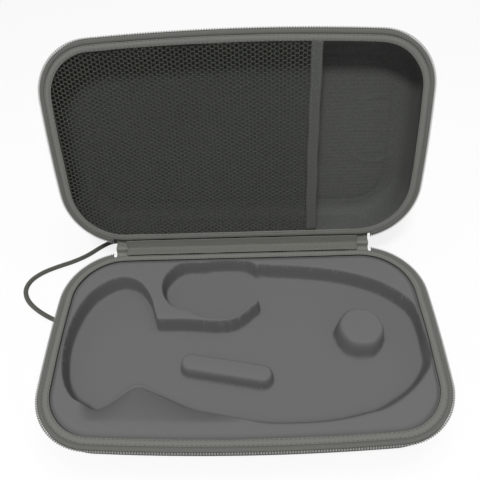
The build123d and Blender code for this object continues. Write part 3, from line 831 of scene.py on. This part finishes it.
def shell_skin(name, profile, side, matrix, material, rings):
    """A dished skin: rings down the wall and a panel across, open at the rim."""
    verts, faces = [], []
    count = len(RIM)
    for inset, depth in profile:
        ring = inset_ring(inset * MM)
        verts += [(x, y, side * depth * MM) for x, y in ring]
    for k in range(len(profile) - 1):
        for i in range(count):
            j = (i + 1) % count
            faces.append((k * count + i, k * count + j, (k + 1) * count + j, (k + 1) * count + i))
    inset, depth = profile[-1]
    boundary = inset_ring(inset * MM)
    near = [inset_ring((inset + step) * MM) for step in (1, 2, 3, 4.5, 6, 8)]
    grid = np.stack(np.meshgrid(np.arange(-126, 127, 4.0), np.arange(-66, 67, 4.0)), -1)
    inner = [grid.reshape(-1, 2) * MM] + near
    for reach in np.arange(4, 34, 0.9):
        ends = np.linspace(0, 2 * math.pi, int(20 + reach * 3), endpoint=False)
        loop = np.stack([np.cos(ends) * EMBLEM_RADII[0], np.sin(ends) * EMBLEM_RADII[1]], 1)
        inner.append((loop * reach / 29 + np.array(EMBLEM_CENTRE)) * MM)
    cloud = thinned(np.vstack(inner), 0.5 * MM)
    cloud = cloud[rim_inset(cloud) > (inset + 0.6) * MM]

    def panel(points):
        edge = (rim_inset(points) / MM - inset) / 3
        crease = 0.5 * MM * np.exp(-((edge - 0.9) ** 2) / 0.18)
        level = depth * MM + (crease - embossed_rings(points) if rings else 0)
        return side * level * np.ones(len(points))

    sheet, triangles = height_sheet(boundary, cloud, panel)
    start = len(verts)
    verts += sheet
    faces += [tuple(start + i for i in face) for face in triangles]
    piece = make_object(name, verts, faces, material)
    return piece


def joined(pieces, name):
    """One object out of several."""
    bpy.ops.object.select_all(action="DESELECT")
    for piece in pieces:
        piece.select_set(True)
    bpy.context.view_layer.objects.active = pieces[0]
    bpy.ops.object.join()
    result = bpy.context.view_layer.objects.active
    result.name = name
    result.data.name = name
    return result


class CASE_OT_shells(bpy.types.Operator):
    """Cloth-covered foam shells of base and lid"""

    bl_idname = "hard_case.shells"
    bl_label = "Shells"

    def execute(self, context):
        tints = context.scene.case_colours
        outside = cloth_material("shell_cloth", tints.shell, 300, 0.7, 0.3, 0.9)
        lining = cloth_material("lid_lining_cloth", tints.lining, 330, 0.3, 0.25, 0.5)
        for half, (matrix, side) in HALVES.items():
            lid = half == "lid"
            far = LID_TOP / MM if lid else RIM_Z / MM
            near = 1.6 if lid else 2.5
            panel = far - 3.0
            outer = [(3.6, near), (3.6, 4.5)] + wall_profile(4.8, 4.5, far, 14)
            inner = [(3.6, near)] + wall_profile(7.8, near, panel, 11)
            skins = [
                shell_skin(half + "_out", outer, side, matrix, outside, lid),
                shell_skin(half + "_in", inner, side, matrix, lining if lid else outside, lid),
            ]
            piece = joined(skins, half + "_shell_body")
            outward_normals(piece)
            place(piece, matrix)
            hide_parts(half + "_shell")
            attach(piece, half)
        return {"FINISHED"}


# --- Rim: bindings, tapes, coils, stitches ---------------------------------------------------------------
BINDING_SECTION = [
    (9.5, 1.0), (9.6, 0.6), (9.3, 0.35), (8.9, 0.36), (8.5, 0.36), (8.0, 0.18), (7.1, 0.1), (6.2, 0.18),
    (5.7, 0.36), (5.3, 0.36), (4.8, 0.5), (4.5, 0.9), (4.5, 4.5), (5.2, 4.5), (5.2, 1.0),
]
TAPE_SECTION = [
    (4.9, 0.42), (3.4, 0.36), (2.2, 0.34), (1.65, 0.5), (1.5, 0.9), (1.5, 4.6), (1.9, 5.4), (2.6, 5.8),
    (4.7, 5.9), (4.7, 5.35), (3.0, 5.3), (2.3, 4.9), (2.1, 4.2), (2.1, 0.95), (4.9, 0.95),
]


def metres(section):
    """Section points in metres."""
    return [(a * MM, b * MM) for a, b in section]


class CASE_OT_rims(bpy.types.Operator):
    """Sewn bindings, zip tapes, zip coils and stitching round both halves"""

    bl_idname = "hard_case.rims"
    bl_label = "Rims"

    def execute(self, context):
        sizes, tints = context.scene.case_sizes, context.scene.case_colours
        binding = tape_material("binding_tape", tints.binding, 0.0016, 0.6, 0.9, 1.0)
        tape = tape_material("zip_tape", tints.binding, 0.0008, 0.8, 0.4, 0.5)
        thread = plain_material("stitch_thread", tints.thread, 0.6)
        nylon = plain_material("zip_nylon", tints.coil, 0.28)
        stretch = zip_stretch()
        for half, (matrix, side) in HALVES.items():
            piece = sweep(half + "_rim_binding", metres(BINDING_SECTION), binding, side, matrix,
                          wobble=0.28 * MM, seed=3.0 * side)
            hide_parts(half + "_binding")
            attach(piece, half)
            piece = sweep(half + "_zip_cloth", metres(TAPE_SECTION), tape, side, matrix, stretch)
            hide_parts(half + "_zip_tape")
            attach(piece, half)
            for row, inset in enumerate((8.7, 5.5)):
                ring = [(x, y, side * 0.27 * MM) for x, y in inset_ring(inset * MM)]
                piece = row_of_beads(
                    f"{half}_binding_stitches_{row}", ring, sizes.stitch_pitch,
                    (sizes.stitch_length, 0.55 * MM, 0.42 * MM), thread, matrix, closed=True,
                )
                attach(piece, half)
            path = [(x, y, side * 1.35 * MM) for x, y in inset_ring(0.75 * MM)[stretch]]
            piece = row_of_beads(
                half + "_coil_row", path, sizes.coil_pitch, (1.15 * MM, 1.35 * MM, 2.4 * MM), nylon, matrix
            )
            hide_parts(half + "_zip_coil")
            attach(piece, half)
        return {"FINISHED"}


# --- Lid pocket -----------------------------------------------------------------------------------------
POCKET_EDGE = 57 * MM


def net_depth(x, y):
    """How far the net hangs behind the mating plane, in metres."""
    across = np.clip(1 - ((x / MM + 40) / 96) ** 2, 0, 1)
    down = np.clip(1 - (y / MM / 76) ** 2, 0, 1)
    sag = 3.2 * across**0.6 * down
    ripple = 1.6 * np.sin(x / MM / 9 + 1.5 * np.sin(y / MM / 30)) * np.clip(-y / MM / 70 + 0.3, 0, 1) * down**0.3
    return (1.4 + sag + ripple * np.clip(across, 0, 1) * 0.8) * MM


class CASE_OT_pocket(bpy.types.Operator):
    """Hexagonal net across the lid, with its taped open edge"""

    bl_idname = "hard_case.pocket"
    bl_label = "Net pocket"

    def execute(self, context):
        sizes, tints = context.scene.case_sizes, context.scene.case_colours
        cell = sizes.net_cell
        side = cell / math.sqrt(3)
        work = bmesh.new()
        corners = {}
        centres = np.array([
            (column * 1.5 * side - 40 * MM, (row + 0.5 * (column % 2)) * cell)
            for row in range(-40, 41) for column in range(-64, 65)
        ])
        keep = (rim_inset(centres) > 7.2 * MM) & (centres[:, 0] < POCKET_EDGE - 2 * MM)
        for middle in centres[keep]:
            ring = []
            for k in range(6):
                turn = k * math.pi / 3
                spot = (middle[0] + side * math.cos(turn), middle[1] + side * math.sin(turn))
                key = (round(spot[0] * 1e5), round(spot[1] * 1e5))
                if key not in corners:
                    corners[key] = work.verts.new((*spot, float(net_depth(*spot))))
                ring.append(corners[key])
            work.faces.new(ring)
        mesh = bpy.data.meshes.new("net_flat")
        work.to_mesh(mesh)
        work.free()
        carrier = bpy.data.objects.new("net_flat", mesh)
        context.scene.collection.objects.link(carrier)
        strand = cloth_material("net_strand", tints.net, 1500, 0.3, 0.2, 0.3)
        piece = grown(carrier, strands_tree(), "hex_net", Thickness=sizes.net_strand, Material=strand)
        place(piece, LID_MATRIX)
        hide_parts("mesh_pocket")
        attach(piece, "lid")

        binding = tape_material("pocket_tape", tints.lining, 0.0011, 0.4, 0.5, 0.7)
        section = [(-4, 0.9), (-3.9, 0.6), (-3, 0.5), (0, 0.42), (3, 0.5), (3.9, 0.6), (4, 0.9), (4, 1.9),
                   (3.8, 2.2), (0, 2.3), (-3.8, 2.2), (-4, 1.9)]
        rows = np.linspace(-74.2, 74.2, 60)
        verts, faces, uvs = [], [], []
        width = len(section)
        for y in rows:
            bow = 0.8 * (1 - (y / 74) ** 2) + 0.25 * math.sin(y / 6)
            for a, depth in section:
                verts.append(((POCKET_EDGE / MM + a - bow) * MM, y * MM, depth * MM))
                uvs.append((y * MM, a * MM))
        for i in range(len(rows) - 1):
            for j in range(width):
                k = (j + 1) % width
                faces.append((i * width + j, i * width + k, (i + 1) * width + k, (i + 1) * width + j))
        faces += [tuple(range(width)), tuple(range((len(rows) - 1) * width, len(rows) * width))]
        piece = make_object("net_edge_tape", verts, faces, binding, uvs)
        outward_normals(piece)
        place(piece, LID_MATRIX)
        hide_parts("pocket_edge_tape")
        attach(piece, "lid")
        thread = plain_material("stitch_thread", tints.thread, 0.6)
        for index, x in enumerate((-2.6, 2.6)):
            path = [(POCKET_EDGE + (x - 0.8 * (1 - (y / 74) ** 2)) * MM, y * MM, 0.42 * MM) for y in rows]
            piece = row_of_beads(f"net_tape_stitches_{index}", path, sizes.stitch_pitch,
                                 (sizes.stitch_length, 0.4 * MM, 0.3 * MM), thread, LID_MATRIX)
            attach(piece, "lid")
        return {"FINISHED"}


# --- Hinge ----------------------------------------------------------------------------------------------
def lid_point(y, depth):
    """A point of the shut lid's section, in millimetres, turned open."""
    spot = LID_MATRIX @ Vector((0, y * MM, depth * MM))
    return (spot.y, spot.z)


def base_point(y, depth):
    """A point of the base's section, in millimetres."""
    return (y * MM, RIM_Z - depth * MM)


def folded_strip(name, route, half_length, thickness, material, ripple):
    """Cloth along X over a route in section, with its thickness."""
    path = np.array(route)
    lengths = path_lengths(path, False)
    spots = np.linspace(0, lengths[-1], 22)
    line = np.stack([np.interp(spots, lengths, path[:, k]) for k in (0, 1)], 1)
    for _ in range(2):
        line[1:-1] = (line[:-2] + 2 * line[1:-1] + line[2:]) / 4
    columns = np.linspace(-half_length, half_length, 120)
    verts, faces, uvs = [], [], []
    for x in columns:
        for k, (y, z) in enumerate(line):
            bump = noise.noise((x * 60, k * 0.2, 5.0)) * ripple
            verts.append((x, y + bump, z + bump * 0.5))
            uvs.append((x, spots[k]))
    width = len(line)
    for i in range(len(columns) - 1):
        for k in range(width - 1):
            faces.append((i * width + k, i * width + k + 1, (i + 1) * width + k + 1, (i + 1) * width + k))
    piece = make_object(name, verts, faces, material, uvs)
    solid = piece.modifiers.new("thickness", "SOLIDIFY")
    solid.thickness = thickness
    solid.offset = 0
    return evaluated(piece, name + "_cloth")


class CASE_OT_hinge(bpy.types.Operator):
    """Cloth hinge and the cover strip sewn inside it"""

    bl_idname = "hard_case.hinge"
    bl_label = "Hinge"

    def execute(self, context):
        sizes, tints = context.scene.case_sizes, context.scene.case_colours
        cloth = tape_material("hinge_cloth", tints.binding, 0.0008, 0.6, 0.4, 0.6)
        cover = tape_material("cover_cloth", tints.hinge, 0.0014, 0.2, 0.25, 0.4)
        route = [base_point(79.4, 5.6), base_point(86.1, 5.6), base_point(86.7, 4.8),
                 base_point(86.7, 0.4), lid_point(86.7, 0.4), lid_point(86.7, 4.8),
                 lid_point(86.1, 5.6), lid_point(79.4, 5.6)]
        strip = folded_strip("hinge", route, HINGE_HALF - 0.3 * MM, 0.6 * MM, cloth, 0.25 * MM)
        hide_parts("hinge_strip")
        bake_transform(strip)
        route = [base_point(79.6, -0.2), base_point(84.5, -0.35), base_point(86.2, -0.4),
                 lid_point(86.2, -0.5), lid_point(84, -0.4), lid_point(79.7, -0.25)]
        cover_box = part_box("hinge_cover")
        strip = folded_strip("cover", route, cover_box[1].x, 0.5 * MM, cover, 0.2 * MM)
        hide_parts("hinge_cover")
        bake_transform(strip)
        return {"FINISHED"}


# --- Zip ends, sliders, strap -----------------------------------------------------------------------------
class CASE_OT_hardware(bpy.types.Operator):
    """Finish of the sliders, pulls, zip ends and strap tab"""

    bl_idname = "hard_case.hardware"
    bl_label = "Hardware"

    def execute(self, context):
        sizes, tints = context.scene.case_sizes, context.scene.case_colours
        metal = plain_material("slider_lacquer", tints.metal, 0.32, 0.6, 0.1)
        tape = cloth_material("zip_end_cloth", tints.binding, 900, 0.4, 0.2, 0.5)
        nylon = plain_material("zip_nylon", tints.coil, 0.28)
        finish = {"slider": metal, "pull": metal, "zip_end_tape": tape, "strap_tab": tape}
        for name, node in frame["nodes"].items():
            for start, material in finish.items():
                if name.startswith(start):
                    node.data.materials.clear()
                    node.data.materials.append(material)
        for hand in ("left", "right"):
            low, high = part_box("zip_end_coil_" + hand)
            middle_y = (low.y + high.y) / 2
            rows = []
            for level in (low.z + 0.95 * MM, high.z - 0.95 * MM):
                lean = (level - (low.z + high.z) / 2) * 0.0678
                path = [(x, middle_y + lean, level) for x in np.linspace(low.x, high.x, 8)]
                rows.append(row_of_beads(f"end_row_{level:.4f}_{hand}", path, sizes.coil_pitch,
                                         (0.8 * MM, 1.35 * MM, 1.9 * MM), nylon))
            piece = joined(rows, f"zip_end_rows_{hand}")
            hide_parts("zip_end_coil_" + hand)
            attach(piece, "base")
        return {"FINISHED"}


STRAP_ROUTE = [
    (-113.5, 84.5, 19.5), (-106.0, 94.0, 12.5), (-101.5, 103.5, 5.5), (-102.0, 114.0, 2.2),
    (-109.1, 121.9, 2.2), (-119.6, 123.5, 2.2), (-130.0, 116.5, 2.2), (-140.0, 107.0, 2.2),
    (-152.0, 100.0, 2.2), (-164.5, 95.0, 2.2), (-176.5, 89.0, 2.2), (-185.5, 80.5, 2.2),
    (-188.0, 70.0, 2.2), (-183.5, 59.5, 2.2), (-174.5, 50.5, 2.2), (-163.5, 43.0, 2.2),
    (-153.0, 37.5, 2.2), (-142.9, 39.6, 2.6), (-136.4, 47.6, 6.5), (-136.4, 58.0, 13.5),
]
STRAP_ENDS = ((-123.84, 73.32, 21.0), (-132.32, 64.84, 21.0))
STRAP_RADIUS = 1.95 * MM


def centre_line(points):
    """A smooth line with these control points, as points in metres."""
    curve = bpy.data.curves.new("route", "CURVE")
    curve.dimensions = "3D"
    curve.resolution_u = 8
    spline = curve.splines.new("NURBS")
    spline.points.add(len(points) - 1)
    for spot, point in zip(spline.points, points):
        spot.co = (*(c * MM for c in point), 1)
    spline.order_u = 3
    spline.use_endpoint_u = True
    carrier = bpy.data.objects.new("route", curve)
    bpy.context.scene.collection.objects.link(carrier)
    mesh = bpy.data.meshes.new_from_object(carrier)
    line = [Vector(v.co) for v in mesh.vertices]
    bpy.data.objects.remove(carrier)
    return line


def tube(name, line, radius, material, sides=12):
    """A round tube along a line, with a UV map in metres."""
    verts, faces, uvs = [], [], []
    run = 0.0
    for i, spot in enumerate(line):
        ahead = (line[min(i + 1, len(line) - 1)] - line[max(i - 1, 0)]).normalized()
        across = ahead.cross(Vector((0, 0, 1))).normalized()
        over = across.cross(ahead).normalized()
        if i:
            run += (spot - line[i - 1]).length
        for k in range(sides):
            turn = 2 * math.pi * k / sides
            verts.append(spot + (across * math.cos(turn) + over * math.sin(turn)) * radius)
            uvs.append((run, radius * turn))
    for i in range(len(line) - 1):
        for k in range(sides):
            m = (k + 1) % sides
            faces.append((i * sides + k, i * sides + m, (i + 1) * sides + m, (i + 1) * sides + k))
    last = (len(line) - 1) * sides
    faces += [tuple(range(sides)), tuple(range(last, last + sides))]
    piece = make_object(name, verts, faces, material, uvs)
    outward_normals(piece)
    return piece


class CASE_OT_strap(bpy.types.Operator):
    """Wrist strap, from its tab and back"""

    bl_idname = "hard_case.strap"
    bl_label = "Wrist strap"

    def execute(self, context):
        tints = context.scene.case_colours
        braid = tape_material("strap_braid", tints.strap, 0.0016, 0.9, 0.7, 0.9)
        line = centre_line([STRAP_ENDS[0], *STRAP_ROUTE, STRAP_ENDS[1]])
        piece = tube("braided_strap", line, STRAP_RADIUS, braid)
        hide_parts("wrist_strap")
        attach(piece, "base")
        return {"FINISHED"}


# --- Stage ------------------------------------------------------------------------------------------------
CAMERA_PLACE = (8.39 * MM, -205.11 * MM, 341.56 * MM + RIM_Z)
CAMERA_YAW = -1.871
CAMERA_DOWN = 48.876
CAMERA_ROLL = -2.94
CAMERA_LENS = 40.56


def flat_light(name, energy, size, place_at, aim):
    """A square lamp that looks at a point."""
    lamp = bpy.data.lights.new(name, "AREA")
    lamp.energy = energy
    lamp.size = size
    thing = bpy.data.objects.new(name, lamp)
    thing.location = place_at
    thing.rotation_euler = (Vector(aim) - Vector(place_at)).to_track_quat("-Z", "Y").to_euler()
    bpy.context.scene.collection.objects.link(thing)


class CASE_OT_stage(bpy.types.Operator):
    """Pale floor, soft lamps and the camera"""

    bl_idname = "hard_case.stage"
    bl_label = "Stage"

    def execute(self, context):
        scene = context.scene
        bpy.ops.mesh.primitive_plane_add(size=6)
        floor = context.object
        floor.name = "pale_floor"
        paint = bpy.data.materials.new("pale_floor")
        paint.use_nodes = True
        nodes, links = paint.node_tree.nodes, paint.node_tree.links
        shader = nodes["Principled BSDF"]
        shader.inputs["Base Color"].default_value = (0.86, 0.86, 0.86, 1)
        shader.inputs["Roughness"].default_value = 0.9
        glow = nodes.new("ShaderNodeEmission")
        glow.inputs["Strength"].default_value = 1.0
        path = nodes.new("ShaderNodeLightPath")
        mix = nodes.new("ShaderNodeMixShader")
        seen = math_node(nodes, links, "MAXIMUM", path.outputs["Is Camera Ray"],
                         path.outputs["Is Glossy Ray"])
        links.new(math_node(nodes, links, "MULTIPLY", seen, 0.82), mix.inputs["Fac"])
        links.new(shader.outputs[0], mix.inputs[1])
        links.new(glow.outputs[0], mix.inputs[2])
        links.new(mix.outputs[0], nodes["Material Output"].inputs["Surface"])
        floor.data.materials.append(paint)

        world = bpy.data.worlds.new("studio")
        scene.world = world
        world.use_nodes = True
        nodes, links = world.node_tree.nodes, world.node_tree.links
        background = nodes["Background"]
        background.inputs["Color"].default_value = (1, 1, 1, 1)
        path = nodes.new("ShaderNodeLightPath")
        seen = math_node(nodes, links, "MAXIMUM", path.outputs["Is Camera Ray"],
                         math_node(nodes, links, "MAXIMUM", path.outputs["Is Glossy Ray"],
                                   path.outputs["Is Transmission Ray"]))
        links.new(math_node(nodes, links, "MULTIPLY_ADD", seen, 0.74, 0.26), background.inputs["Strength"])

        flat_light("key", 19.0, 0.24, (-0.12, -0.62, 1.55), (0, 0.06, 0.06))
        flat_light("overhead", 3.4, 0.6, (0.1, 0.1, 1.05), (0, 0.0, 0.03))

        camera = bpy.data.objects.new("camera", bpy.data.cameras.new("camera"))
        scene.collection.objects.link(camera)
        yaw, down, roll = (math.radians(a) for a in (CAMERA_YAW, CAMERA_DOWN, CAMERA_ROLL))
        ahead = Vector((math.sin(yaw) * math.cos(down), math.cos(yaw) * math.cos(down), -math.sin(down)))
        right = Vector((math.cos(yaw), -math.sin(yaw), 0))
        up = right.cross(ahead)
        tilted = right * math.cos(roll) + up * math.sin(roll)
        upright = up * math.cos(roll) - right * math.sin(roll)
        turn = Matrix((tilted, upright, -ahead)).transposed()
        camera.matrix_world = Matrix.Translation(CAMERA_PLACE) @ turn.to_4x4()
        camera.data.lens = CAMERA_LENS
        camera.data.sensor_width = 36
        camera.data.clip_start = 0.01
        scene.camera = camera
        scene.view_settings.view_transform = "Standard"
        return {"FINISHED"}


class CASE_PT_panel(bpy.types.Panel):
    """Sizes, colours and steps of the case"""

    bl_label = "Hard Case"
    bl_idname = "CASE_PT_panel"
    bl_space_type = "VIEW_3D"
    bl_region_type = "UI"
    bl_category = "Hard Case"

    def draw(self, context):
        for group in (context.scene.case_sizes, context.scene.case_colours):
            for name in group.__annotations__:
                self.layout.prop(group, name)
        for step in STEPS:
            self.layout.operator(step.bl_idname)


STEPS = [CASE_OT_strap, CASE_OT_tray, CASE_OT_shells, CASE_OT_rims, CASE_OT_pocket, CASE_OT_hinge,
         CASE_OT_hardware, CASE_OT_stage]
CLASSES = [CaseSizes, CaseColours, *STEPS, CASE_PT_panel]


def register():
    """Registers the classes and their settings."""
    for kind in CLASSES:
        bpy.utils.register_class(kind)
    bpy.types.Scene.case_sizes = bpy.props.PointerProperty(type=CaseSizes)
    bpy.types.Scene.case_colours = bpy.props.PointerProperty(type=CaseColours)


def unregister():
    """Removes the settings and the classes."""
    del bpy.types.Scene.case_colours
    del bpy.types.Scene.case_sizes
    for kind in reversed(CLASSES):
        bpy.utils.unregister_class(kind)


def main():
    """Builds every piece."""
    register()
    for step in STEPS:
        family, name = step.bl_idname.split(".")
        getattr(getattr(bpy.ops, family), name)()


if __name__ == "__main__":
    main()
